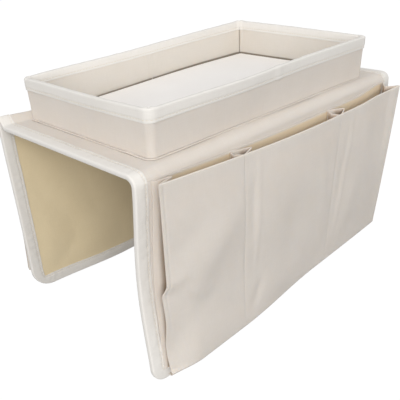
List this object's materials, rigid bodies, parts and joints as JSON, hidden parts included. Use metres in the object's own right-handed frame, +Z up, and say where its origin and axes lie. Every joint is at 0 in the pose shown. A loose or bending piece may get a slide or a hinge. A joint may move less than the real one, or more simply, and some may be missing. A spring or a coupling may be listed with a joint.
{
  "type": "armrest organizer",
  "caption": "Fabric saddle for a sofa arm, with bound folding flaps, bellows pockets on both sides and a shallow tray with a loose floor on top.",
  "frame": {"origin": "centre of the standing footprint, on the surface that the lower edges of both flaps stand on", "axes": "+X along the sofa arm, +Y from the front flap to the rear flap, +Z up"},
  "size_m": [0.36, 0.2306, 0.2285],
  "materials": {
    "cover_fabric": "matte",
    "lining_fabric": "matte",
    "binding_tape": "matte",
    "floor_fabric": "matte",
    "grey_board": "matte"
  },
  "bodies": {
    "saddle": {"top_cover": "cover_fabric", "top_board": "grey_board", "top_lining": "lining_fabric", "top_tape_left": "binding_tape", "top_tape_right": "binding_tape", "front_fold_cover": "cover_fabric", "front_fold_lining": "lining_fabric", "front_fold_tape_left": "binding_tape", "front_fold_tape_right": "binding_tape", "rear_fold_cover": "cover_fabric", "rear_fold_lining": "lining_fabric", "rear_fold_tape_left": "binding_tape", "rear_fold_tape_right": "binding_tape", "tray_base_sheet": "cover_fabric", "tray_outer_cover": "cover_fabric", "tray_lining": "cover_fabric", "tray_rim_tape": "binding_tape", "tray_board_left": "grey_board", "tray_board_front_left": "grey_board", "tray_board_rear_left": "grey_board", "tray_board_right": "grey_board", "tray_board_front_right": "grey_board", "tray_board_rear_right": "grey_board"},
    "tray_floor": {"tray_floor_cover": "floor_fabric", "tray_floor_board": "grey_board"},
    "front_flap": {"front_cover": "cover_fabric", "front_board": "grey_board", "front_lining": "lining_fabric", "front_tape": "binding_tape", "front_pocket_back": "cover_fabric", "front_left_pocket_gusset_left": "cover_fabric", "front_left_pocket_gusset_right": "cover_fabric", "front_middle_pocket_gusset_left": "cover_fabric", "front_middle_pocket_gusset_right": "cover_fabric", "front_right_pocket_gusset_left": "cover_fabric", "front_right_pocket_gusset_right": "cover_fabric"},
    "front_left_pocket": {"front_left_pocket_face": "cover_fabric"},
    "front_middle_pocket": {"front_middle_pocket_face": "cover_fabric"},
    "front_right_pocket": {"front_right_pocket_face": "cover_fabric"},
    "rear_flap": {"rear_cover": "cover_fabric", "rear_board": "grey_board", "rear_lining": "lining_fabric", "rear_tape": "binding_tape", "rear_pocket_back": "cover_fabric", "rear_left_pocket_gusset_left": "cover_fabric", "rear_left_pocket_gusset_right": "cover_fabric", "rear_middle_pocket_gusset_left": "cover_fabric", "rear_middle_pocket_gusset_right": "cover_fabric", "rear_right_pocket_gusset_left": "cover_fabric", "rear_right_pocket_gusset_right": "cover_fabric"},
    "rear_left_pocket": {"rear_left_pocket_face": "cover_fabric"},
    "rear_middle_pocket": {"rear_middle_pocket_face": "cover_fabric"},
    "rear_right_pocket": {"rear_right_pocket_face": "cover_fabric"}
  },
  "joints": [
    {"name": "tray_floor_lift", "type": "slide", "parent": "saddle", "child": "tray_floor", "axis": [0, 0, 1], "range_m": [0, 0.045]},
    {"name": "front_flap_fold", "type": "hinge", "parent": "saddle", "child": "front_flap", "pos_m": [0, -0.088, 0.18], "axis": [-1, 0, 0], "range_deg": [-25, 90], "deforming": ["front_fold_cover", "front_fold_lining", "front_fold_tape_left", "front_fold_tape_right"]},
    {"name": "front_left_pocket_open", "type": "hinge", "parent": "front_flap", "child": "front_left_pocket", "pos_m": [0, -0.0982, 0.003], "axis": [1, 0, 0], "range_deg": [-4, 6], "stiffness_Nm_per_rad": 0.05, "deforming": ["front_left_pocket_gusset_left", "front_left_pocket_gusset_right"]},
    {"name": "front_middle_pocket_open", "type": "hinge", "parent": "front_flap", "child": "front_middle_pocket", "pos_m": [0, -0.0982, 0.003], "axis": [1, 0, 0], "range_deg": [-4, 6], "stiffness_Nm_per_rad": 0.05, "deforming": ["front_middle_pocket_gusset_left", "front_middle_pocket_gusset_right"]},
    {"name": "front_right_pocket_open", "type": "hinge", "parent": "front_flap", "child": "front_right_pocket", "pos_m": [0, -0.0982, 0.003], "axis": [1, 0, 0], "range_deg": [-4, 6], "stiffness_Nm_per_rad": 0.05, "deforming": ["front_right_pocket_gusset_left", "front_right_pocket_gusset_right"]},
    {"name": "rear_flap_fold", "type": "hinge", "parent": "saddle", "child": "rear_flap", "pos_m": [0, 0.088, 0.18], "axis": [1, 0, 0], "range_deg": [-25, 90], "deforming": ["rear_fold_cover", "rear_fold_lining", "rear_fold_tape_left", "rear_fold_tape_right"]},
    {"name": "rear_left_pocket_open", "type": "hinge", "parent": "rear_flap", "child": "rear_left_pocket", "pos_m": [0, 0.0982, 0.003], "axis": [-1, 0, 0], "range_deg": [-4, 6], "stiffness_Nm_per_rad": 0.05, "deforming": ["rear_left_pocket_gusset_left", "rear_left_pocket_gusset_right"]},
    {"name": "rear_middle_pocket_open", "type": "hinge", "parent": "rear_flap", "child": "rear_middle_pocket", "pos_m": [0, 0.0982, 0.003], "axis": [-1, 0, 0], "range_deg": [-4, 6], "stiffness_Nm_per_rad": 0.05, "deforming": ["rear_middle_pocket_gusset_left", "rear_middle_pocket_gusset_right"]},
    {"name": "rear_right_pocket_open", "type": "hinge", "parent": "rear_flap", "child": "rear_right_pocket", "pos_m": [0, 0.0982, 0.003], "axis": [-1, 0, 0], "range_deg": [-4, 6], "stiffness_Nm_per_rad": 0.05, "deforming": ["rear_right_pocket_gusset_left", "rear_right_pocket_gusset_right"]}
  ]
}
